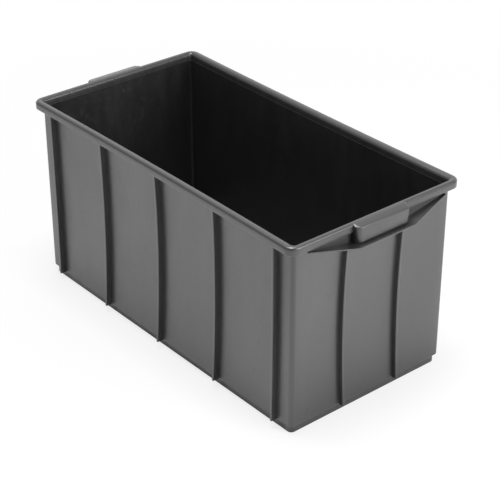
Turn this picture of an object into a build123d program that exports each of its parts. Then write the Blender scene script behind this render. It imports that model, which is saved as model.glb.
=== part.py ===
"""Closed-wall plastic harvest crate, one moulding split into its moulded features.

Millimetres. The origin is under the middle of the floor, +X runs along the crate, +Z is up.
Front is -Y, back is +Y, left is -X and right is +X.
"""
import os

from build123d import *

# Overall sizes, over the rim and without the grips
rim_length = 600.0
rim_width = 312.0
crate_height = 302.0

# Rim: a channel round the mouth, open below
rim_depth = 12.0
rim_thickness = 3.0
skirt_thickness = 2.5
long_land = 10.5
end_land = 8.0
rim_corner_radius = 15.0
rim_edge_radius = 4.0
mouth_edge_radius = 1.0
ledge_thickness = 2.5

# Walls: the body fits the mouth of a like crate below it
stack_clearance = 1.5
wall_thickness = 2.5
wall_corner_radius = 6.5
least_radius = 0.5

# Foot and floor
foot_height = 12.5
foot_inset = 3.7
foot_corner_radius = 7.0
foot_thickness = 2.5
step_thickness = 2.5
floor_thickness = 3.0

# Ribs: their feet stand on the rim of a crate below
rib_thickness = 3.6
long_rib_setback = 3.6
end_rib_setback = 2.7
rib_foot_height = 12.0
long_rib_pitch = 131.7
corner_rib_setback = 32.2
end_rib_pitch = 103.2

# Grips, with the lip below each one and the flares beside it
grip_length = 98.0
grip_reach = 10.7
grip_thickness = 3.0
grip_draft = 1.0
grip_corner_radius = 8.5
grip_edge_radius = 6.0
lip_stand = 6.6
lip_overrun = 1.5
lip_drop = 15.6
lip_thickness = 2.5
flare_setback = 30.5
flare_tip_reach = 0.4
flare_tip_drop = 2.2
flare_tip_thickness = 1.0

# Places that the sizes above give
half_length = rim_length / 2
half_width = rim_width / 2
rim_foot = crate_height - rim_depth
rim_underside = crate_height - rim_thickness
mouth_length = rim_length - 2 * end_land
mouth_width = rim_width - 2 * long_land
mouth_corner_radius = wall_corner_radius + stack_clearance
body_length = mouth_length - 2 * stack_clearance
body_width = mouth_width - 2 * stack_clearance
wall_foot = foot_height + step_thickness
foot_length = body_length - 2 * foot_inset
foot_width = body_width - 2 * foot_inset
grip_pocket_length = grip_length - 2 * grip_thickness
grip_pocket_reach = grip_reach - grip_thickness
lip_length = grip_length + 2 * lip_overrun
lip_reach = grip_reach + lip_stand
lip_foot = rim_foot - lip_drop

side_names = {
    (0, -1): "front",
    (0, 1): "back",
    (-1, 0): "left",
    (1, 0): "right",
}
corner_names = {
    (-1, -1): "front_left",
    (1, -1): "front_right",
    (-1, 1): "back_left",
    (1, 1): "back_right",
}


def outline(length, width, radius, inset=0.0):
    """Rounded rectangle, drawn in by the same inset on every side."""
    corner = max(radius - inset, least_radius)
    return RectangleRounded(length - 2 * inset, width - 2 * inset, corner)


def rim_outline(inset=0.0):
    return outline(rim_length, rim_width, rim_corner_radius, inset)


def mouth_outline(inset=0.0):
    return outline(mouth_length, mouth_width, mouth_corner_radius, inset)


def body_outline(inset=0.0):
    return outline(body_length, body_width, wall_corner_radius, inset)


def foot_outline(inset=0.0):
    return outline(foot_length, foot_width, foot_corner_radius, inset)


def upright(sketch, low, high):
    """Prism of a plan sketch between two heights."""
    return extrude(Pos(0, 0, low) * sketch, high - low)


def block(x_range, y_range, z_range):
    """Box between two values along each axis."""
    spans = [high - low for low, high in (x_range, y_range, z_range)]
    middle = [(high + low) / 2 for low, high in (x_range, y_range, z_range)]
    return Pos(*middle) * Box(*spans)


def run_limits(place, straight_half, reach):
    """Range along one axis of a side (place 0) or of a corner (place -1 or 1)."""
    if place == 0:
        return (-straight_half, straight_half)
    return tuple(sorted((place * straight_half, place * reach)))


def split_ring(ring, side_word, corner_word, corner_reach):
    """Cut a ring at the ends of its straight runs, into four sides and four corners."""
    pieces = {}
    straight_half_length = min(body_length / 2 - corner_reach, half_length - rim_corner_radius)
    straight_half_width = min(body_width / 2 - corner_reach, half_width - rim_corner_radius)
    named = {place: f"{name}_{side_word}" for place, name in side_names.items()}
    named.update({place: f"{name}_{corner_word}" for place, name in corner_names.items()})
    for (x_place, y_place), node in named.items():
        x_range = run_limits(x_place, straight_half_length, rim_length)
        y_range = run_limits(y_place, straight_half_width, rim_width)
        pieces[node] = ring & block(x_range, y_range, (0, crate_height))
    return pieces


def make_foot():
    """Foot ring and the step that carries the walls outside it."""
    foot = upright(foot_outline() - foot_outline(foot_thickness), 0, foot_height)
    step = upright(body_outline() - foot_outline(foot_thickness), foot_height, wall_foot)
    return foot + step


def make_walls():
    return upright(body_outline() - body_outline(wall_thickness), wall_foot, rim_foot)


def make_rim():
    """Flat top, outer skirt, inner riser and the ledge that meets the walls."""
    top = upright(rim_outline() - mouth_outline(), rim_underside, crate_height)
    skirt = upright(rim_outline() - rim_outline(skirt_thickness), rim_foot, rim_underside)
    riser = upright(mouth_outline(-wall_thickness) - mouth_outline(), rim_foot, rim_underside)
    ledge_plan = mouth_outline(-wall_thickness) - body_outline(wall_thickness)
    ledge = upright(ledge_plan, rim_foot, rim_foot + ledge_thickness)
    rim = top + skirt + riser + ledge
    outer_edges = rim.faces().sort_by(Axis.Z)[-1].outer_wire().edges()
    rim = fillet(outer_edges, rim_edge_radius)
    mouth_edges = rim.faces().sort_by(Axis.Z)[-1].inner_wires()[0].edges()
    rim = fillet(mouth_edges, mouth_edge_radius)
    for end in (-1, 1):
        face = end * half_length
        seat_x = tuple(sorted((face, face - end * rim_edge_radius)))
        seat_y = (-grip_length / 2, grip_length / 2)
        rim += block(seat_x, seat_y, (rim_underside, crate_height))
        pocket_x = tuple(sorted((face, face - end * skirt_thickness)))
        pocket_y = (-grip_pocket_length / 2, grip_pocket_length / 2)
        rim -= block(pocket_x, pocket_y, (rim_foot, rim_underside))
    return rim


def long_rib(place, y_side):
    """Rib on the front (y_side -1) or back wall, at a place along the crate."""
    x_range = (place - rib_thickness / 2, place + rib_thickness / 2)
    wall_face = y_side * body_width / 2
    rib_face = y_side * (half_width - long_rib_setback)
    y_range = tuple(sorted((wall_face, rib_face)))
    return block(x_range, y_range, (rib_foot_height, rim_foot))


def end_rib(place, x_side):
    """Rib on the left (x_side -1) or right wall, at a place across the crate."""
    wall_face = x_side * body_length / 2
    rib_face = x_side * (half_length - end_rib_setback)
    x_range = tuple(sorted((wall_face, rib_face)))
    y_range = (place - rib_thickness / 2, place + rib_thickness / 2)
    return block(x_range, y_range, (rib_foot_height, rim_foot))


def make_ribs():
    ribs = {}
    outer = body_length / 2 - corner_rib_setback
    long_places = (-outer, -long_rib_pitch, 0, long_rib_pitch, outer)
    end_places = (-end_rib_pitch / 2, end_rib_pitch / 2)
    for number, place in enumerate(long_places, start=1):
        ribs[f"front_rib_{number}"] = long_rib(place, -1)
        ribs[f"back_rib_{number}"] = long_rib(place, 1)
    for number, place in enumerate(end_places, start=1):
        ribs[f"left_rib_{number}"] = end_rib(place, -1)
        ribs[f"right_rib_{number}"] = end_rib(place, 1)
    return ribs


def ledge_section(place, reach, drop, thickness):
    """Section of a flare: down from the rim skirt, then out as a ledge, at a place across the crate."""
    inner = half_length - lip_thickness
    outer = half_length + reach
    ledge = rim_foot - drop
    corners = [
        (inner, rim_foot),
        (half_length, rim_foot),
        (half_length, ledge),
        (outer, ledge),
        (outer, ledge - thickness),
        (inner, ledge - thickness),
    ]
    plane = Plane(origin=(0, place, 0), x_dir=(1, 0, 0), z_dir=(0, -1, 0))
    return plane * make_face(Polyline(*corners, close=True))


def make_lip():
    """Lip below the grip's front, on the right end."""
    x_range = (half_length + grip_pocket_reach, half_length + lip_reach)
    y_range = (-grip_pocket_length / 2, grip_pocket_length / 2)
    return block(x_range, y_range, (lip_foot - lip_thickness, lip_foot))


def make_flare():
    """Flare from the front end of the lip to its tip under the rim, on the right end."""
    start = -grip_pocket_length / 2
    bend = -lip_length / 2
    tip = flare_setback - half_width
    straight = extrude(ledge_section(start, lip_reach, lip_drop, lip_thickness), start - bend)
    tapered = loft(
        [
            ledge_section(bend, lip_reach, lip_drop, lip_thickness).face(),
            ledge_section(tip, flare_tip_reach, flare_tip_drop, flare_tip_thickness).face(),
        ],
        ruled=True,
    )
    return straight + tapered


def grip_plan(reach, length, corner, height):
    """Plan of the grip, or of the pocket behind it, rounded at its two front corners."""
    plan = Pos(half_length + reach / 2, 0) * Rectangle(reach, length)
    return Pos(0, 0, height) * fillet(plan.vertices().group_by(Axis.X)[-1], corner)


def drafted_grip(reach, length, corner):
    """Block of the grip, or of its pocket, drawn in at its ends towards the lip."""
    high = grip_plan(reach, length, corner, crate_height)
    low = grip_plan(reach, length - 2 * grip_draft, corner, lip_foot)
    return loft([low.face(), high.face()], ruled=True)


def make_grip():
    """Grip with a flat top and an open pocket for the fingers behind its front, on the right end."""
    pocket_corner = max(grip_corner_radius - grip_thickness, least_radius)
    solid = drafted_grip(grip_reach, grip_length, grip_corner_radius)
    pocket = drafted_grip(grip_pocket_reach, grip_pocket_length, pocket_corner)
    top_edges = solid.faces().sort_by(Axis.Z)[-1].edges().sort_by(Axis.X)[1:]
    solid = fillet(top_edges, grip_edge_radius)
    pocket_limit = block((0, rim_length), (-grip_length, grip_length), (0, rim_underside))
    return solid - (pocket & pocket_limit)


def make_grip_pieces():
    """Grip, lip and two flares at each end."""
    pieces = {}
    right = {
        "grip": make_grip(),
        "grip_lip": make_lip(),
        "front_grip_flare": make_flare(),
    }
    right["back_grip_flare"] = mirror(right["front_grip_flare"], about=Plane.XZ)
    for word, piece in right.items():
        pieces[f"right_{word}"] = piece
        pieces[f"left_{word}"] = mirror(piece, about=Plane.YZ)
    return pieces


def make_crate():
    """Every node of the crate, by name."""
    nodes = {"floor_panel": upright(foot_outline(foot_thickness), 0, floor_thickness)}
    nodes.update(split_ring(make_foot(), "foot", "foot_corner", foot_inset + foot_corner_radius))
    nodes.update(split_ring(make_walls(), "wall", "corner", wall_corner_radius))
    nodes.update(make_ribs())
    nodes.update(split_ring(make_rim(), "rim", "rim_corner", wall_corner_radius))
    nodes.update(make_grip_pieces())
    return nodes


os.makedirs("parts", exist_ok=True)
for node_name, node in make_crate().items():
    export_step(node, f"parts/{node_name}.step")
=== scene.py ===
# %% [markdown]
# # A closed-wall harvest crate in black plastic
#
# The real crate is one injection moulding: a deep box with thin smooth walls, upright ribs, a rim that
# is turned over like a channel, and a hand grip at each end. The CAD frame holds every feature at its
# real size, with sharp edges and flat walls. This lesson dresses that frame with the soft edges, the
# slightly drawn-in walls and the satin skin that a moulding has.

# %% Load the frame and keep its box
import math

import bmesh
import bpy
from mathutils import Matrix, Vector


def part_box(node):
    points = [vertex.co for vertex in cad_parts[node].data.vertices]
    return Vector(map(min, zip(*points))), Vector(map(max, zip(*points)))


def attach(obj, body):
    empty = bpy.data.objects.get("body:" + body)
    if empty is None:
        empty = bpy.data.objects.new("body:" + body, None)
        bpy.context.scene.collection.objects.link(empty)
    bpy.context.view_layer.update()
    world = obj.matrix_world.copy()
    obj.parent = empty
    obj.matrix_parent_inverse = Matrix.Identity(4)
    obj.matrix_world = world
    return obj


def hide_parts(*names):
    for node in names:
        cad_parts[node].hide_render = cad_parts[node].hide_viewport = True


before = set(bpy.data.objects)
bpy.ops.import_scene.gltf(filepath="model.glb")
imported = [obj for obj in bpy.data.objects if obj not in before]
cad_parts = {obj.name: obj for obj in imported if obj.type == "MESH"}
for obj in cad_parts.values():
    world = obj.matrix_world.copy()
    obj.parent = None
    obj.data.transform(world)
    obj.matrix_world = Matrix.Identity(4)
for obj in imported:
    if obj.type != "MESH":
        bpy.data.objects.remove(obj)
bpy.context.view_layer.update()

# %% [markdown]
# ## Camera
#
# The crate was photographed from above its near corner with a long lens, so its parallel edges hardly
# meet. A camera can be placed by hand and nudged, but here its angles and its lens were worked out from
# the straight edges of the rim and the foot, so they are simply written down.

# %% Place the camera
mm = 0.001
camera_azimuth = math.radians(50.11)
camera_elevation = math.radians(30.02)
camera_distance = 2300 * mm
camera_aim = Vector((26.3, 4.5, 122.6)) * mm
camera_lens = 110.5
sensor_width = 36.0

towards_camera = Vector((
    math.sin(camera_azimuth) * math.cos(camera_elevation),
    -math.cos(camera_azimuth) * math.cos(camera_elevation),
    math.sin(camera_elevation),
))
camera_data = bpy.data.cameras.new("camera")
camera_data.lens = camera_lens
camera_data.sensor_width = sensor_width
camera = bpy.data.objects.new("camera", camera_data)
camera.location = camera_aim + towards_camera * camera_distance
camera.rotation_euler = towards_camera.to_track_quat("Z", "Y").to_euler()
bpy.context.collection.objects.link(camera)
bpy.context.scene.camera = camera
print("camera at", [round(value, 3) for value in camera.location])

# %% [markdown]
# ## Node helper and colours
#
# Shaders and Geometry Nodes are both trees of nodes, so one small function can add a node to either.
# Colours are written as the hex values that a paint program shows, and turned to the linear values that
# the renderer works in.


# %% Helpers for node trees
def add_node(tree, kind, settings=None, inputs=None):
    """Add one node, apply its settings, and fill each input with a value or a link."""
    node = tree.nodes.new(kind)
    for name, value in (settings or {}).items():
        setattr(node, name, value)
    for name, value in (inputs or {}).items():
        if isinstance(value, bpy.types.NodeSocket):
            tree.links.new(value, node.inputs[name])
        else:
            node.inputs[name].default_value = value
    return node


def linear(hex_colour):
    """Linear colour of an sRGB hex value."""
    channels = []
    for start in (1, 3, 5):
        value = int(hex_colour[start:start + 2], 16) / 255
        channels.append(value / 12.92 if value <= 0.04045 else ((value + 0.055) / 1.055) ** 2.4)
    return (*channels, 1.0)


print("mid grey #808080 is", round(linear("#808080")[0], 3), "in linear light")

# %% [markdown]
# ## Black moulded polypropylene
#
# The plastic is polypropylene, coloured through with carbon black and moulded against a smooth steel
# tool. It gives the eye a nearly black body under a satin skin: most of what is seen is the pale floor
# and the studio, blurred by the skin. Polypropylene bends light by 1.49. The slip wax in such a moulding
# also rises to its surface, and this film is made as a coat, which shines more at a slant. A plain dark
# colour would look like a silhouette, so the skin gets slow streaks where the melt flowed, a fine grain,
# and faint rubbed patches that change the gloss.

# %% Make the plastic
flow_length = 70 * mm
flow_width = 22 * mm
# The real grain is near 0.1 mm, too fine to show, so it is drawn ten times coarser.
grain_width = 1.0 * mm
rub_width = 9 * mm
grain_depth = 0.012 * mm
glossy_roughness = 0.34
satin_roughness = 0.40
rubbed_roughness = 0.48
plastic_ior = 1.49
wax_ior = 1.65

plastic = bpy.data.materials.new("black_moulded_polypropylene")
plastic.use_nodes = True
tree = plastic.node_tree
tree.nodes.clear()
place = add_node(tree, "ShaderNodeTexCoord").outputs["Object"]
along_flow = add_node(tree, "ShaderNodeMapping", inputs={
    "Vector": place,
    "Scale": (1 / flow_width, 1 / flow_width, 1 / flow_length),
})
flow = add_node(tree, "ShaderNodeTexNoise", inputs={
    "Vector": along_flow.outputs["Vector"], "Scale": 1.0, "Detail": 2.0,
})
grain = add_node(tree, "ShaderNodeTexNoise", inputs={
    "Vector": place, "Scale": 1 / grain_width, "Detail": 2.0,
})
rub = add_node(tree, "ShaderNodeTexNoise", inputs={
    "Vector": place, "Scale": 1 / rub_width, "Detail": 4.0, "Roughness": 0.6,
})
colour = add_node(tree, "ShaderNodeMix", {"data_type": "RGBA"}, {
    "Factor": flow.outputs["Fac"], 6: linear("#151516"), 7: linear("#1b1b1c"),
})
gloss_flow = add_node(tree, "ShaderNodeMapRange", inputs={
    "Value": flow.outputs["Fac"], "From Min": 0.3, "From Max": 0.7,
    "To Min": glossy_roughness, "To Max": satin_roughness,
})
gloss = add_node(tree, "ShaderNodeMapRange", inputs={
    "Value": rub.outputs["Fac"], "From Min": 0.55, "From Max": 0.8,
    "To Min": gloss_flow.outputs["Result"], "To Max": rubbed_roughness,
})
relief = add_node(tree, "ShaderNodeBump", inputs={
    "Strength": 0.5, "Distance": grain_depth, "Height": grain.outputs["Fac"],
})
skin = add_node(tree, "ShaderNodeBsdfPrincipled", inputs={
    "Base Color": colour.outputs[2],
    "Roughness": gloss.outputs["Result"],
    "IOR": plastic_ior,
    "Normal": relief.outputs["Normal"],
    "Coat Weight": 1.0,
    "Coat Roughness": gloss.outputs["Result"],
    "Coat IOR": wax_ior,
    "Coat Normal": relief.outputs["Normal"],
})
add_node(tree, "ShaderNodeOutputMaterial", inputs={"Surface": skin.outputs["BSDF"]})
print("plastic has", len(tree.nodes), "nodes")

# %% [markdown]
# ## Outlines with round corners
#
# Nearly every shape on a moulding is a run of straight lines with an arc at each corner: the rim seen
# from above, the rim's section, a rib's section and the grip's plan. So one function turns corners with
# radii into an outline, and another cuts long runs into steps where the shape has to bend later.


# %% Helpers for outlines
def rounded(corners, arc_steps=6):
    """Closed outline through corners given as (x, y, radius), with an arc at each corner."""
    points = []
    for index, (x, y, radius) in enumerate(corners):
        corner = Vector((x, y))
        before = (Vector(corners[index - 1][:2]) - corner).normalized()
        after = (Vector(corners[(index + 1) % len(corners)][:2]) - corner).normalized()
        if radius <= 0:
            points.append(corner)
            continue
        half_angle = before.angle(after) / 2
        centre = corner + (before + after).normalized() * radius / math.sin(half_angle)
        start = corner + before * radius / math.tan(half_angle) - centre
        turn = math.pi - 2 * half_angle
        if before.cross(after) > 0:
            turn = -turn
        for step in range(arc_steps + 1):
            angle = math.atan2(start.y, start.x) + turn * step / arc_steps
            points.append(centre + radius * Vector((math.cos(angle), math.sin(angle))))
    return points


def divided(points, longest):
    """The same closed outline with its long runs cut into equal steps."""
    cut = []
    for here, there in zip(points, points[1:] + points[:1]):
        steps = max(1, math.ceil((there - here).length / longest - 0.001))
        cut += [here.lerp(there, step / steps) for step in range(steps)]
    return cut


def rectangle(length, width, radius, inset=0.0):
    """Rounded rectangle about the origin, drawn in by an inset, anticlockwise."""
    x, y, corner = length / 2 - inset, width / 2 - inset, radius - inset
    return rounded([(-x, -y, corner), (x, -y, corner), (x, y, corner), (-x, y, corner)], arc_steps=8)


print("a rounded square has", len(rectangle(1, 1, 0.1)), "points")

# %% [markdown]
# ## From a node tree to a finished piece
#
# What a node tree makes lives only in its modifier, and an export would lose it. So every tree runs on a
# seed object once, and its result is kept as a plain mesh with its doubles merged and its faces turned
# outwards. Each finished piece then says which CAD nodes it stands for, so that nothing is shown twice.


# %% Helpers that keep a piece
def link_object(name, data):
    made = bpy.data.objects.new(name, data)
    bpy.context.collection.objects.link(made)
    return made


def guide(name, points, height=0.0):
    """Closed curve that a node tree follows. It is removed when the piece is made."""
    data = bpy.data.curves.new(name, "CURVE")
    data.dimensions = "3D"
    spline = data.splines.new("POLY")
    spline.points.add(len(points) - 1)
    for point, flat in zip(spline.points, points):
        point.co = (flat.x, flat.y, height, 1.0)
    spline.use_cyclic_u = True
    return link_object(name, data)


def tidy_mesh(mesh, sharp_angle=35):
    """Merge doubles, turn the faces outwards and shade all but the sharp edges smoothly."""
    work = bmesh.new()
    work.from_mesh(mesh)
    bmesh.ops.remove_doubles(work, verts=work.verts, dist=0.001 * mm)
    bmesh.ops.recalc_face_normals(work, faces=work.faces)
    work.to_mesh(mesh)
    work.free()
    mesh.shade_smooth()
    mesh.set_sharp_from_angle(angle=math.radians(sharp_angle))


def grow(name, tree, base, sizes):
    """Run a node tree on a base mesh and keep what it makes as a plain mesh."""
    seed = link_object(name + "_seed", base)
    modifier = seed.modifiers.new(tree.name, "NODES")
    modifier.node_group = tree
    for socket in tree.interface.items_tree:
        if socket.in_out == "INPUT" and socket.name in sizes:
            modifier[socket.identifier] = sizes[socket.name]
    evaluated = seed.evaluated_get(bpy.context.evaluated_depsgraph_get())
    mesh = bpy.data.meshes.new_from_object(evaluated)
    bpy.data.objects.remove(seed)
    tidy_mesh(mesh)
    return link_object(name, mesh)


def settle(piece, *nodes):
    """Let a finished piece stand for its CAD nodes and move with the crate."""
    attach(piece, "root")
    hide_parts(*nodes)
    print(piece.name, "stands for", len(nodes), "nodes with", len(piece.data.polygons), "faces")


sides = ("front", "back", "left", "right")
corners = ("front_left", "front_right", "back_left", "back_right")
print("the crate has", len(sides), "sides and", len(corners), "corners")

# %% [markdown]
# ## The drawn-in walls
#
# A thin plastic wall shrinks as it cools, and a long one ends up a few millimetres hollow. The walls
# curve inward most at mid-height and spread a little above the foot, and the long sides of the rim follow
# them. The bend could be modelled into each piece, but then walls, ribs and rim would have to agree. Here
# one small node group moves any point by where it is, and the trees for walls, rim and ribs all use it.

# %% Sizes of the bend
rim_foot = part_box("front_rim")[0].z
half_run_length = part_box("front_wall")[1].x
half_run_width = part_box("right_wall")[1].y
foot_height = 12.5 * mm
# The two bends of each kind are those of the end walls and of the long walls.
bow_sizes = {
    "Run": (half_run_length, half_run_width, rim_foot / 2),
    "Wall Bow": (7.1 * mm, 4.2 * mm, 0),
    "Rim Bow": (0, 2.5 * mm, 0),
    "Foot Spread": (1.5 * mm, 2.4 * mm, 0),
    "Spread From": 0.6 * foot_height,
    "Spread To": 0.9 * foot_height,
}
deepest = [round(depth / mm, 1) for depth in bow_sizes["Wall Bow"][:2]]
print("the end walls and the long walls bow in by", deepest, "mm")

# %% Bend group: where a point lies
bow = bpy.data.node_groups.new("draw_walls_in", "GeometryNodeTree")
bow.interface.new_socket("Geometry", in_out="INPUT", socket_type="NodeSocketGeometry")
for name in ("Run", "Wall Bow", "Rim Bow", "Foot Spread"):
    bow.interface.new_socket(name, in_out="INPUT", socket_type="NodeSocketVector")
for name in ("Spread From", "Spread To"):
    bow.interface.new_socket(name, in_out="INPUT", socket_type="NodeSocketFloat")
bow.interface.new_socket("Geometry", in_out="OUTPUT", socket_type="NodeSocketGeometry")
given = add_node(bow, "NodeGroupInput").outputs
point = add_node(bow, "GeometryNodeInputPosition").outputs["Position"]
# Each point's share of the way from the middle of a wall to its ends, along every axis
half_up = add_node(bow, "ShaderNodeVectorMath", {"operation": "MULTIPLY"}, {
    0: given["Run"], 1: (0, 0, 1),
})
centred = add_node(bow, "ShaderNodeVectorMath", {"operation": "SUBTRACT"}, {
    0: point, 1: half_up.outputs[0],
})
share = add_node(bow, "ShaderNodeVectorMath", {"operation": "DIVIDE"}, {
    0: centred.outputs[0], 1: given["Run"],
})
share = add_node(bow, "ShaderNodeVectorMath", {"operation": "MINIMUM"}, {
    0: share.outputs[0], 1: (1, 1, 1),
})
share = add_node(bow, "ShaderNodeVectorMath", {"operation": "MAXIMUM"}, {
    0: share.outputs[0], 1: (-1, -1, -1),
})
# A crown is 1 in the middle of a wall and falls to 0 at its ends
square = add_node(bow, "ShaderNodeVectorMath", {"operation": "MULTIPLY"}, {
    0: share.outputs[0], 1: share.outputs[0],
})
crown = add_node(bow, "ShaderNodeVectorMath", {"operation": "SUBTRACT"}, {
    0: (1, 1, 1), 1: square.outputs[0],
})
share_parts = add_node(bow, "ShaderNodeSeparateXYZ", inputs={0: share.outputs[0]}).outputs
crown_parts = add_node(bow, "ShaderNodeSeparateXYZ", inputs={0: crown.outputs[0]}).outputs
height = add_node(bow, "ShaderNodeSeparateXYZ", inputs={0: point}).outputs["Z"]
print("bend group takes", len(bow_sizes), "sizes")

# %% Bend group: how far a point moves
# The hollow is deepest at mid-height, the rim's bend grows upward and the spread grows down to the foot
level = add_node(bow, "ShaderNodeMapRange", inputs={"Value": share_parts["Z"], "From Min": -1.0})
depth = add_node(bow, "ShaderNodeMath", {"operation": "SUBTRACT"}, {0: 1.0, 1: level.outputs["Result"]})
depth = add_node(bow, "ShaderNodeMath", {"operation": "POWER"}, {0: depth.outputs[0], 1: 2.0})
above_foot = add_node(bow, "ShaderNodeMapRange", inputs={
    "Value": height, "From Min": given["Spread From"], "From Max": given["Spread To"],
})
low_share = add_node(bow, "ShaderNodeMath", {"operation": "MULTIPLY"}, {
    0: depth.outputs[0], 1: above_foot.outputs["Result"],
})
hollow = add_node(bow, "ShaderNodeVectorMath", {"operation": "SCALE"}, {
    0: given["Wall Bow"], "Scale": crown_parts["Z"],
})
lean = add_node(bow, "ShaderNodeVectorMath", {"operation": "SCALE"}, {
    0: given["Rim Bow"], "Scale": level.outputs["Result"],
})
spread = add_node(bow, "ShaderNodeVectorMath", {"operation": "SCALE"}, {
    0: given["Foot Spread"], "Scale": low_share.outputs[0],
})
drawn_in = add_node(bow, "ShaderNodeVectorMath", {"operation": "ADD"}, {
    0: hollow.outputs[0], 1: lean.outputs[0],
})
outward = add_node(bow, "ShaderNodeVectorMath", {"operation": "SUBTRACT"}, {
    0: spread.outputs[0], 1: drawn_in.outputs[0],
})
# All of it fades out towards the corners and points away from the middle of the crate
along_wall = add_node(bow, "ShaderNodeCombineXYZ", inputs={"X": crown_parts["Y"], "Y": crown_parts["X"]})
outward = add_node(bow, "ShaderNodeVectorMath", {"operation": "MULTIPLY"}, {
    0: outward.outputs[0], 1: along_wall.outputs["Vector"],
})
outward = add_node(bow, "ShaderNodeVectorMath", {"operation": "MULTIPLY"}, {
    0: outward.outputs[0], 1: share.outputs[0],
})
moved = add_node(bow, "GeometryNodeSetPosition", inputs={
    "Geometry": given["Geometry"], "Offset": outward.outputs[0],
})
add_node(bow, "NodeGroupOutput", inputs={0: moved.outputs["Geometry"]})
print("bend group has", len(bow.nodes), "nodes")

# %% [markdown]
# ## A section swept round the crate
#
# The rim and the walls are both one section carried round a rounded rectangle. Curve to Mesh does this
# in one node: it takes the path and the section as curves. The rim is a little narrower on the ends than
# on the long sides, so the tree can also pull the inner part of a section in or out on each side.

# %% Tree that sweeps a section
sweep = bpy.data.node_groups.new("sweep_round_crate", "GeometryNodeTree")
for name, kind in (
    ("Geometry", "Geometry"), ("Path", "Object"), ("Section", "Object"),
    ("Land", "Float"), ("Pull", "Vector"), ("Run", "Vector"), ("Plastic", "Material"),
):
    sweep.interface.new_socket(name, in_out="INPUT", socket_type="NodeSocket" + kind)
sweep.interface.new_socket("Geometry", in_out="OUTPUT", socket_type="NodeSocketGeometry")
given = add_node(sweep, "NodeGroupInput").outputs
path = add_node(sweep, "GeometryNodeObjectInfo", inputs={"Object": given["Path"]})
section = add_node(sweep, "GeometryNodeObjectInfo", inputs={"Object": given["Section"]})
point = add_node(sweep, "GeometryNodeInputPosition").outputs["Position"]
outward = add_node(sweep, "ShaderNodeSeparateXYZ", inputs={0: point}).outputs["X"]
inset = add_node(sweep, "ShaderNodeMath", {"operation": "MULTIPLY"}, {0: outward, 1: -1.0})
inset = add_node(sweep, "ShaderNodeMath", {"operation": "MINIMUM"}, {
    0: inset.outputs[0], 1: given["Land"],
})
marked = add_node(sweep, "GeometryNodeStoreNamedAttribute", {"data_type": "FLOAT"}, {
    "Geometry": section.outputs["Geometry"], "Name": "inset", "Value": inset.outputs[0],
})
level_path = add_node(sweep, "GeometryNodeSetCurveNormal", {"mode": "Z_UP"}, {
    "Curve": path.outputs["Geometry"],
})
swept = add_node(sweep, "GeometryNodeCurveToMesh", inputs={
    "Curve": level_path.outputs["Curve"], "Profile Curve": marked.outputs["Geometry"],
})
print("the section keeps how far in each point lies as", marked.inputs["Name"].default_value)

# %% Fit the swept section to each side
kept_inset = add_node(sweep, "GeometryNodeInputNamedAttribute", {"data_type": "FLOAT"}, {
    "Name": "inset",
})
share = add_node(sweep, "ShaderNodeVectorMath", {"operation": "DIVIDE"}, {0: point, 1: given["Run"]})
capped = add_node(sweep, "ShaderNodeVectorMath", {"operation": "MINIMUM"}, {
    0: share.outputs["Vector"], 1: (1, 1, 1),
})
side = add_node(sweep, "ShaderNodeVectorMath", {"operation": "MAXIMUM"}, {
    0: capped.outputs["Vector"], 1: (-1, -1, -1),
})
pull = add_node(sweep, "ShaderNodeVectorMath", {"operation": "MULTIPLY"}, {
    0: side.outputs["Vector"], 1: given["Pull"],
})
pull = add_node(sweep, "ShaderNodeVectorMath", {"operation": "SCALE"}, {
    0: pull.outputs["Vector"], "Scale": kept_inset.outputs["Attribute"],
})
fitted = add_node(sweep, "GeometryNodeSetPosition", inputs={
    "Geometry": swept.outputs["Mesh"], "Offset": pull.outputs["Vector"],
})
drawn = add_node(sweep, "GeometryNodeGroup", {"node_tree": bow}, {
    "Geometry": fitted.outputs["Geometry"], **bow_sizes,
})
real = add_node(sweep, "GeometryNodeRealizeInstances", inputs={"Geometry": drawn.outputs["Geometry"]})
dressed = add_node(sweep, "GeometryNodeSetMaterial", inputs={
    "Geometry": real.outputs["Geometry"], "Material": given["Plastic"],
})
add_node(sweep, "NodeGroupOutput", inputs={0: dressed.outputs["Geometry"]})
print("sweep tree has", len(sweep.nodes), "nodes")

# %% Helper that sweeps a section
sweep_step = 12 * mm


def sweep_section(name, path_points, height, section_corners, land=0.0, pull=(0, 0, 0)):
    """Piece made by carrying a section round a path. The section is given as (outward, up, radius)."""
    down_corners = [(outward, -up, radius) for outward, up, radius in section_corners]
    path_guide = guide(name + "_path", divided(path_points, sweep_step), height)
    section_guide = guide(name + "_section", divided(rounded(down_corners), sweep_step))
    piece = grow(name, sweep, bpy.data.meshes.new(name + "_base"), {
        "Path": path_guide, "Section": section_guide, "Land": land, "Pull": pull,
        "Run": (half_run_length, half_run_width, 1.0), "Plastic": plastic,
    })
    bpy.data.objects.remove(path_guide)
    bpy.data.objects.remove(section_guide)
    return piece


print("sections and paths are cut into steps of", sweep_step / mm, "mm")

# %% [markdown]
# ## Walls and foot
#
# The walls and their round corners are one skin, 2.5 mm thick, and the foot is a smaller ring that steps
# in below them. They could be plates and corner posts, but seams would show where the real crate has
# none. A section swept round the body gives all the walls, with a soft lower edge, and another the foot.

# %% Make the wall shell
body_length = 2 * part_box("right_wall")[1].x
body_width = 2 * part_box("back_wall")[1].y
wall_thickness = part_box("back_wall")[1].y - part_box("back_wall")[0].y
wall_corner_radius = body_length / 2 - half_run_length
wall_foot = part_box("back_wall")[0].z
step_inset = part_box("back_foot")[1].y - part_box("back_foot")[0].y
wall_edge_radius = 2.0 * mm
step_radius = 1.2 * mm

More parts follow.
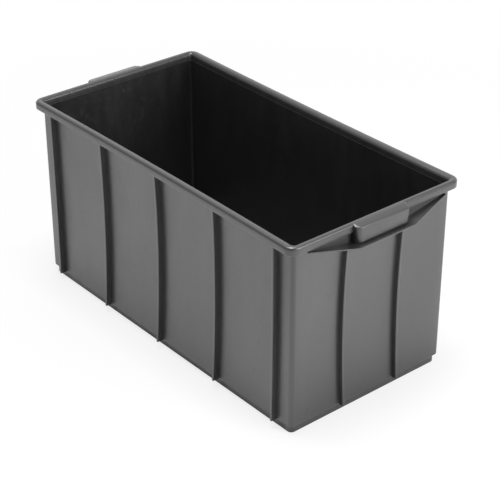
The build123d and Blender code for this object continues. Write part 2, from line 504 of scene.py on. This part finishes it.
wall_section = [
    (0, foot_height, wall_edge_radius),
    (0, rim_foot, 0),
    (-wall_thickness, rim_foot, 0),
    (-wall_thickness, wall_foot, step_radius),
    (-step_inset, wall_foot, step_radius),
    (-step_inset, foot_height, 0),
]
wall_path = rectangle(body_length, body_width, wall_corner_radius)
walls = sweep_section("wall_shell", wall_path, 0, wall_section)
settle(walls, *(f"{side}_wall" for side in sides), *(f"{corner}_corner" for corner in corners))

# %% Make the foot
foot_thickness = 2.5 * mm
foot_inset = step_inset - foot_thickness
foot_corner_radius = 7 * mm
floor_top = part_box("floor_panel")[1].z
# The foot ends inside the step above it, so that the two never share a plane.
step_cover = 0.3 * mm
foot_top = wall_foot - step_cover
foot_edge_radius = 0.8 * mm
toe = 0.9 * mm

foot_section = [
    (0, 0, foot_edge_radius),
    (0, foot_top, 0),
    (-foot_thickness, foot_top, 0),
    (-foot_thickness, floor_top, toe),
    (-foot_thickness - toe, floor_top, 0),
    (-foot_thickness - toe, 0, 0),
]
foot_path = rectangle(body_length - 2 * foot_inset, body_width - 2 * foot_inset, foot_corner_radius)
foot = sweep_section("foot", foot_path, 0, foot_section)
settle(foot, *(f"{side}_foot" for side in sides), *(f"{corner}_foot_corner" for corner in corners))

# %% [markdown]
# ## Rim
#
# The rim is a channel, open below, that stiffens the mouth. Its top is flat, its edges are round, and its
# inner face leans in to meet the walls, which leads the foot of another crate into the mouth. It is swept
# like the walls. Its top lies a tenth of a millimetre under the grips' tops, so that the two never share a
# plane.

# %% Make the rim
rim_length = 2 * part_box("right_rim")[1].x
rim_width = 2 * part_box("back_rim")[1].y
rim_corner_radius = 15 * mm
rim_edge_radius = 4 * mm
mouth_edge_radius = 5.8 * mm
rim_drop = 0.1 * mm
rim_thickness = 3.0 * mm
skirt_thickness = 2.5 * mm
skirt_edge_radius = 0.8 * mm
skirt_inner_radius = 0.5 * mm
channel_radius = 0.8 * mm
long_land = 12.5 * mm
end_land = 10.0 * mm
mouth_step = 0.6 * mm
crate_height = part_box("front_rim")[1].z
rim_depth = crate_height - rim_drop - rim_foot
land = (long_land + end_land) / 2
lead_in = (rim_width - body_width) / 2 + wall_thickness - mouth_step - long_land

rim_section = [
    (-land, 0, mouth_edge_radius),
    (0, 0, rim_edge_radius),
    (0, -rim_depth, skirt_edge_radius),
    (-skirt_thickness, -rim_depth, skirt_inner_radius),
    (-skirt_thickness, -rim_thickness, channel_radius),
    (wall_thickness - land, -rim_thickness, channel_radius),
    (wall_thickness - land - lead_in, -rim_depth, 0),
    (-land - lead_in, -rim_depth, 0),
]
pull = (1 - end_land / land, 1 - long_land / land, 0)
rim_path = rectangle(rim_length, rim_width, rim_corner_radius)
rim = sweep_section("rim", rim_path, crate_height - rim_drop, rim_section, land, pull)
print("rim is", [round(size, 4) for size in rim.dimensions])

# %% [markdown]
# ## Ribs
#
# Upright ribs stiffen the walls: five on each long side and two on each end. A rib stops above the foot,
# where it stands on the rim of a crate below. Its outer edges are barely rounded and its root is sharp.
# One rib could be copied by hand, but here it is swept up a line and put at every place by the tree.

# %% Tree that stands ribs along a wall
rib_tree = bpy.data.node_groups.new("stand_ribs", "GeometryNodeTree")
for name, kind in (
    ("Geometry", "Geometry"), ("Section", "Object"), ("Foot", "Float"), ("Top", "Float"),
    ("Steps", "Int"), ("Plastic", "Material"),
):
    rib_tree.interface.new_socket(name, in_out="INPUT", socket_type="NodeSocket" + kind)
rib_tree.interface.new_socket("Geometry", in_out="OUTPUT", socket_type="NodeSocketGeometry")
given = add_node(rib_tree, "NodeGroupInput").outputs
section = add_node(rib_tree, "GeometryNodeObjectInfo", inputs={"Object": given["Section"]})
low_end = add_node(rib_tree, "ShaderNodeCombineXYZ", inputs={"Z": given["Foot"]})
high_end = add_node(rib_tree, "ShaderNodeCombineXYZ", inputs={"Z": given["Top"]})
line = add_node(rib_tree, "GeometryNodeCurvePrimitiveLine", inputs={
    "Start": low_end.outputs["Vector"], "End": high_end.outputs["Vector"],
})
stepped = add_node(rib_tree, "GeometryNodeResampleCurve", inputs={
    "Curve": line.outputs["Curve"], "Count": given["Steps"],
})
rib = add_node(rib_tree, "GeometryNodeCurveToMesh", inputs={
    "Curve": stepped.outputs["Curve"], "Profile Curve": section.outputs["Geometry"], "Fill Caps": True,
})
turn = add_node(rib_tree, "GeometryNodeInputNamedAttribute", {"data_type": "FLOAT"}, {"Name": "turn"})
facing = add_node(rib_tree, "ShaderNodeCombineXYZ", inputs={"Z": turn.outputs["Attribute"]})
placed = add_node(rib_tree, "GeometryNodeInstanceOnPoints", inputs={
    "Points": given["Geometry"], "Instance": rib.outputs["Mesh"], "Rotation": facing.outputs["Vector"],
})
real = add_node(rib_tree, "GeometryNodeRealizeInstances", inputs={
    "Geometry": placed.outputs["Instances"],
})
drawn = add_node(rib_tree, "GeometryNodeGroup", {"node_tree": bow}, {
    "Geometry": real.outputs["Geometry"], **bow_sizes,
})
dressed = add_node(rib_tree, "GeometryNodeSetMaterial", inputs={
    "Geometry": drawn.outputs["Geometry"], "Material": given["Plastic"],
})
add_node(rib_tree, "NodeGroupOutput", inputs={0: dressed.outputs["Geometry"]})
print("rib tree has", len(rib_tree.nodes), "nodes")

# %% Make the ribs
rib_edge_radius = 0.7 * mm
rib_root_sink = 0.6 * mm
rib_steps = 25
rib_counts = {"front": 5, "back": 5, "left": 2, "right": 2}
turns = {"back": 0.0, "front": math.pi, "left": math.pi / 2, "right": -math.pi / 2}


def make_ribs(side, count):
    """All ribs of one wall, standing where the frame has them."""
    nodes = [f"{side}_rib_{number}" for number in range(1, count + 1)]
    boxes = [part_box(node) for node in nodes]
    span = boxes[0][1] - boxes[0][0]
    lengthwise = side in ("front", "back")
    thickness, depth = (span.x, span.y) if lengthwise else (span.y, span.x)
    half = thickness / 2
    section = rounded([
        (-half, -rib_root_sink, 0), (half, -rib_root_sink, 0),
        (half, depth, rib_edge_radius), (-half, depth, rib_edge_radius),
    ], arc_steps=4)
    base = bpy.data.meshes.new(side + "_rib_places")
    places = [(low + high) / 2 for low, high in boxes]
    for spot in places:
        spot.z = 0
        if lengthwise:
            spot.y = math.copysign(body_width / 2, spot.y)
        else:
            spot.x = math.copysign(body_length / 2, spot.x)
    base.from_pydata(places, [], [])
    angles = base.attributes.new("turn", "FLOAT", "POINT")
    for item in angles.data:
        item.value = turns[side]
    section_guide = guide(side + "_rib_section", section)
    piece = grow(side + "_ribs", rib_tree, base, {
        "Section": section_guide, "Foot": boxes[0][0].z, "Top": boxes[0][1].z,
        "Steps": rib_steps, "Plastic": plastic,
    })
    bpy.data.objects.remove(section_guide)
    settle(piece, *nodes)


for side, count in rib_counts.items():
    make_ribs(side, count)

# %% [markdown]
# ## Floor
#
# The floor is a flat panel inside the foot. Nothing in the picture shows it, so it stays plain, and a
# fillet inside the foot leads down to it. It is built from two rings of one outline, joined by faces, as
# the grips are from many.


# %% Make the floor
def skin_rings(name, rings):
    """Closed mesh through rings of equally many points, with a face at each end."""
    mesh = bpy.data.meshes.new(name)
    count = len(rings[0])
    points = [point for ring in rings for point in ring]
    faces = [tuple(range(count)), tuple(range(len(points) - count, len(points)))]
    for ring in range(len(rings) - 1):
        for spot in range(count):
            following = (spot + 1) % count
            faces.append((
                ring * count + spot, ring * count + following,
                (ring + 1) * count + following, (ring + 1) * count + spot,
            ))
    mesh.from_pydata(points, [], faces)
    mesh.materials.append(plastic)
    tidy_mesh(mesh)
    return link_object(name, mesh)


def at_height(outline, height):
    return [Vector((point.x, point.y, height)) for point in outline]


floor_inset = step_inset + toe
floor_corner_radius = foot_corner_radius - foot_thickness - toe
floor_length = body_length - 2 * floor_inset
floor_width = body_width - 2 * floor_inset
floor_outline = rectangle(floor_length, floor_width, floor_corner_radius)
floor = skin_rings("floor", [at_height(floor_outline, 0), at_height(floor_outline, floor_top)])
settle(floor, "floor_panel")

# %% [markdown]
# ## Hand grips
#
# At each end the rim swells into a hollow grip. Its top starts flush with the rim and falls a little
# outward, and its ends draw in a little towards a flat lip below. Beside the grip the lip runs back into
# the rim as two flares. Each is a ledge under a web that hangs inside the rim, behind its skirt, so that
# the hollow above the ledge lies in shade. Lip and flares are one strip, so they are skinned over sections
# along the end of the crate. The grip is a rounded block with its finger pocket cut out by a Boolean, the
# simplest way to hollow a block.

# %% Sizes of the grips
lip_low, lip_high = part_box("right_grip_lip")
face_x = rim_length / 2
grip_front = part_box("right_grip")[1].x
grip_half = 49 * mm
grip_draft = 1.0 * mm
pocket_half = lip_high.y
pocket_front = lip_low.x
lip_top = lip_high.z
lip_thickness = lip_high.z - lip_low.z
lip_reach = lip_high.x - face_x
lip_overrun = 1.5 * mm
bend_half = grip_half + lip_overrun
tip_half = -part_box("right_front_grip_flare")[0].y
tip_reach = 0.4 * mm
tip_drop = 2.2 * mm
tip_thickness = 1.0 * mm
grip_reach = grip_front - face_x
print("grip reaches", round(grip_reach / mm, 2), "mm and its lip", round(lip_reach / mm, 2), "mm")

# %% Make a lip with its two flares
web_setback = 3.8 * mm
web_thickness = 2 * mm
web_top = crate_height - rim_thickness
web_face = face_x - web_setback
web_inner = web_face - web_thickness
cove_radius = 0.3 * mm
nose_radius = 1.2 * mm
least_softness = 0.1
flare_steps = 12


def ledge_section(share, y):
    """Ring round a flare where its reach and drop are a share of the lip's."""
    edge = face_x + tip_reach + (lip_reach - tip_reach) * share
    ledge = rim_foot - tip_drop + (lip_top - rim_foot + tip_drop) * share
    under = ledge - tip_thickness + (tip_thickness - lip_thickness) * share
    soft = max(share, least_softness)
    section = rounded([
        (web_inner, web_top, 0), (web_inner, under, 0),
        (edge, under, nose_radius * soft), (edge, ledge, nose_radius * soft),
        (web_face, ledge, cove_radius * soft), (web_face, web_top, 0),
    ])
    return [Vector((point.x, y, point.y)) for point in section]


def lip_section(y):
    """Ring round the lip in front of the pocket, with as many points as a flare."""
    ring = ledge_section(1, y)
    return [Vector((max(point.x, lip_low.x), y, min(point.z, lip_top))) for point in ring]


def make_lip():
    """Flare, lip and flare as one strip, for the right end."""
    rings = []
    for side in (-1, 1):
        half = []
        for step in range(flare_steps + 1):
            share = step / flare_steps
            half.append(ledge_section(share, side * (tip_half + (bend_half - tip_half) * share)))
        half += [ledge_section(1, side * pocket_half), lip_section(side * pocket_half)]
        rings += half if side < 0 else half[::-1]
    return skin_rings("lip", rings)


lip_part = make_lip()
print("lip with its flares has", len(lip_part.data.polygons), "faces")

# %% Make a grip
front_corner_radius = 8.5 * mm
top_fall = 2.4 * mm
top_edge_radius = 2.5 * mm
crown_radius = 25 * mm
low_edge_radius = 4 * mm
end_edge_radius = 3 * mm
pocket_radius = 5.5 * mm
pocket_top = crate_height - rim_thickness
grip_rear = face_x - rim_edge_radius
grip_sink = 0.5 * mm
toe_setback = 2 * mm
toe_rise = 3 * mm
crown_setback = 1 * mm
corner_share = 0.8
cut_margin = 20 * mm
cut_sharp_angle = 30


def grip_ring(rear, front, half, radius, height):
    """Plan of the grip or of its pocket at a height, with its ends drawn in by the draft."""
    half -= grip_draft * (crate_height - height) / (crate_height - lip_top)
    plan = [(rear, -half, 0), (front, -half, radius), (front, half, radius), (rear, half, 0)]
    return at_height(rounded(plan), height)


def subtract(piece, *cutters):
    """Cut other objects out of a piece, keep the result as its mesh, and remove the cutters."""
    for cutter in cutters:
        modifier = piece.modifiers.new("cut", "BOOLEAN")
        modifier.object = cutter
        modifier.solver = "EXACT"
    evaluated = piece.evaluated_get(bpy.context.evaluated_depsgraph_get())
    mesh = bpy.data.meshes.new_from_object(evaluated)
    piece.modifiers.clear()
    piece.data = mesh
    tidy_mesh(mesh, cut_sharp_angle)
    for cutter in cutters:
        bpy.data.objects.remove(cutter)


def make_grip():
    """Hollow grip for the right end."""
    grip_foot = lip_top - grip_sink
    profile = rounded([
        (grip_rear, grip_foot, 0),
        (grip_front - toe_setback, grip_foot, 0),
        (grip_front, lip_top + toe_rise, low_edge_radius),
        (grip_front, crate_height - top_fall, top_edge_radius),
        (face_x - crown_setback, crate_height, crown_radius),
        (grip_rear, crate_height, 0),
    ])
    rings = []
    for spot in profile[1:-1]:
        rise = max(0, end_edge_radius - crate_height + spot.y)
        end_inset = end_edge_radius - math.sqrt(max(0, end_edge_radius ** 2 - rise ** 2))
        corner = min(front_corner_radius, corner_share * (spot.x - grip_rear))
        rings.append(grip_ring(grip_rear, spot.x, grip_half - end_inset, corner, spot.y))
    grip = skin_rings("grip", rings)
    pocket = skin_rings("pocket", [
        grip_ring(grip_rear - cut_margin, pocket_front, pocket_half, pocket_radius, height)
        for height in (lip_top - cut_margin, pocket_top)
    ])
    subtract(grip, pocket)
    return grip


grip_part = make_grip()
print("hollow grip has", len(grip_part.data.polygons), "faces")


# %% Put a grip on each end
def end_copy(name, part, mirrored):
    """Copy of a part of the right end, mirrored for the left end if asked."""
    work = bmesh.new()
    work.from_mesh(part.data)
    if mirrored:
        bmesh.ops.scale(work, vec=(-1, 1, 1), verts=work.verts)
    mesh = bpy.data.meshes.new(name)
    work.to_mesh(mesh)
    work.free()
    mesh.materials.append(plastic)
    tidy_mesh(mesh, cut_sharp_angle)
    return link_object(name, mesh)


for end, mirrored in (("right", False), ("left", True)):
    lip = end_copy(end + "_lip", lip_part, mirrored)
    settle(lip, f"{end}_grip_lip", f"{end}_front_grip_flare", f"{end}_back_grip_flare")
    grip = end_copy(end + "_grip_block", grip_part, mirrored)
    settle(grip, f"{end}_grip")
for part in (lip_part, grip_part):
    bpy.data.objects.remove(part)

# %% [markdown]
# ## Open the rim behind the grips
#
# The finger pocket goes up behind the rim's outer skirt, so the skirt is missing there. The rim was swept
# whole, so a block is cut out of it at each end.

# %% Cut the rim
opening_depth = skirt_thickness + 1 * mm
opening_margin = 2 * mm
openings = []
for side in (-1, 1):
    x_inner = side * (face_x - opening_depth)
    x_outer = side * (face_x + opening_margin)
    plan = [
        Vector((x_inner, -pocket_half)), Vector((x_outer, -pocket_half)),
        Vector((x_outer, pocket_half)), Vector((x_inner, pocket_half)),
    ]
    low = rim_foot - opening_margin
    high = crate_height - rim_drop - rim_thickness
    openings.append(skin_rings("opening", [at_height(plan, low), at_height(plan, high)]))
subtract(rim, *openings)
settle(rim, *(f"{side}_rim" for side in sides), *(f"{corner}_rim_corner" for corner in corners))

# %% [markdown]
# ## Studio floor
#
# A product like this is shot on a sheet of white paper that curves up behind it. The floor here is the
# flat part of such a sheet, matt and pale, and it keeps the crate's shadow. Camera rays also see a share of
# plain white on it, and away from the crate nothing else, so that it looks as white as paper does in a
# bright studio, without more light on the crate. Mirrored rays see a smaller share.


# %% Lay the floor
def white_share(tree, seen_share, mirrored_share):
    """How much plain white a ray sees: one share straight or through glass, another in a mirror."""
    rays = add_node(tree, "ShaderNodeLightPath").outputs
    seen = add_node(tree, "ShaderNodeMath", {"operation": "MAXIMUM"}, {
        0: rays["Is Camera Ray"], 1: rays["Is Transmission Ray"],
    })
    mirrored = add_node(tree, "ShaderNodeMath", {"operation": "MULTIPLY"}, {
        0: rays["Is Glossy Ray"], 1: mirrored_share,
    })
    share = add_node(tree, "ShaderNodeMath", {"operation": "MULTIPLY_ADD"}, {
        0: seen.outputs[0], 1: seen_share, 2: mirrored.outputs[0],
    })
    return share.outputs[0]


floor_size = 24.0
floor_drop = 0.2 * mm
# Up to the first distance from the crate's middle the floor keeps its shadow, from the second it is white.
shadow_reach = 0.55
white_reach = 1.2
shadow_white = 0.78
mirrored_white = 0.1
sheet = bpy.data.meshes.new("studio_floor")
half = floor_size / 2
sheet_corners = [(-half, -half, 0), (half, -half, 0), (half, half, 0), (-half, half, 0)]
sheet.from_pydata(sheet_corners, [], [(0, 1, 2, 3)])
studio_floor = link_object("studio_floor", sheet)
studio_floor.location.z = -floor_drop
paper = bpy.data.materials.new("white_paper_sweep")
paper.use_nodes = True
tree = paper.node_tree
tree.nodes.clear()
matt = add_node(tree, "ShaderNodeBsdfDiffuse", inputs={"Color": linear("#f4f4f4")})
white = add_node(tree, "ShaderNodeEmission", inputs={"Color": linear("#ffffff"), "Strength": 1.0})
spot = add_node(tree, "ShaderNodeTexCoord").outputs["Object"]
away = add_node(tree, "ShaderNodeVectorMath", {"operation": "LENGTH"}, {0: spot}).outputs["Value"]
seen_share = add_node(tree, "ShaderNodeMapRange", inputs={
    "Value": away, "From Min": shadow_reach, "From Max": white_reach,
    "To Min": shadow_white, "To Max": 1.0,
}).outputs["Result"]
mixed = add_node(tree, "ShaderNodeMixShader", inputs={
    0: white_share(tree, seen_share, mirrored_white),
    1: matt.outputs["BSDF"],
    2: white.outputs["Emission"],
})
add_node(tree, "ShaderNodeOutputMaterial", inputs={"Surface": mixed.outputs["Shader"]})
sheet.materials.append(paper)
print("floor is", floor_size, "m wide")

# %% [markdown]
# ## Studio light
#
# The bright paper behind the crate is the main light, and the room behind the camera is darker, so every
# round edge that turns to the camera shows as a dark line. The world fades from one to the other. A soft
# lamp overhead lights the mouth and puts small highlights on the near corners. A weaker one lights the
# floor at the right, which the end wall mirrors.

# %% Make the world
backdrop_direction = Vector((-0.55, 0.8, -0.15)).normalized()
fade_start = -0.3
fade_end = 0.75
room_level = 0.28
backdrop_level = 0.95
mirrored_sky = 0.2
world = bpy.data.worlds.new("studio")
world.use_nodes = True
bpy.context.scene.world = world
tree = world.node_tree
tree.nodes.clear()
direction = add_node(tree, "ShaderNodeTexCoord").outputs["Generated"]
facing = add_node(tree, "ShaderNodeVectorMath", {"operation": "DOT_PRODUCT"}, {
    0: direction, 1: backdrop_direction,
})
glow = add_node(tree, "ShaderNodeMapRange", inputs={
    "Value": facing.outputs["Value"], "From Min": fade_start, "From Max": fade_end,
    "To Min": room_level, "To Max": backdrop_level,
})
level = add_node(tree, "ShaderNodeMapRange", inputs={
    "Value": white_share(tree, 1.0, mirrored_sky), "To Min": glow.outputs["Result"], "To Max": 1.0,
})
sky = add_node(tree, "ShaderNodeBackground", inputs={
    "Color": linear("#ffffff"), "Strength": level.outputs["Result"],
})
add_node(tree, "ShaderNodeOutputWorld", inputs={"Surface": sky.outputs["Background"]})
print("the room glows at", room_level, "and the backdrop at", backdrop_level)

# %% Hang the lamps
# Where each lamp hangs, what it points at, its width in metres and its power in watts
lamps = {
    "lamp_above": ((0.0, -0.2, 2.2), (0.0, 0.0, 0.0), 0.8, 34.0),
    "lamp_beside": ((1.5, 0.35, 0.9), (0.5, 0.15, 0.0), 0.9, 15.0),
}
for name, (place, aim, size, watts) in lamps.items():
    lamp_data = bpy.data.lights.new(name, "AREA")
    lamp_data.shape = "SQUARE"
    lamp_data.size = size
    lamp_data.energy = watts
    lamp = link_object(name, lamp_data)
    lamp.location = place
    lamp.rotation_euler = (Vector(place) - Vector(aim)).to_track_quat("Z", "Y").to_euler()
    lamp.visible_camera = False
bpy.context.scene.view_settings.view_transform = "Standard"
print("soft lamps:", ", ".join(lamps))
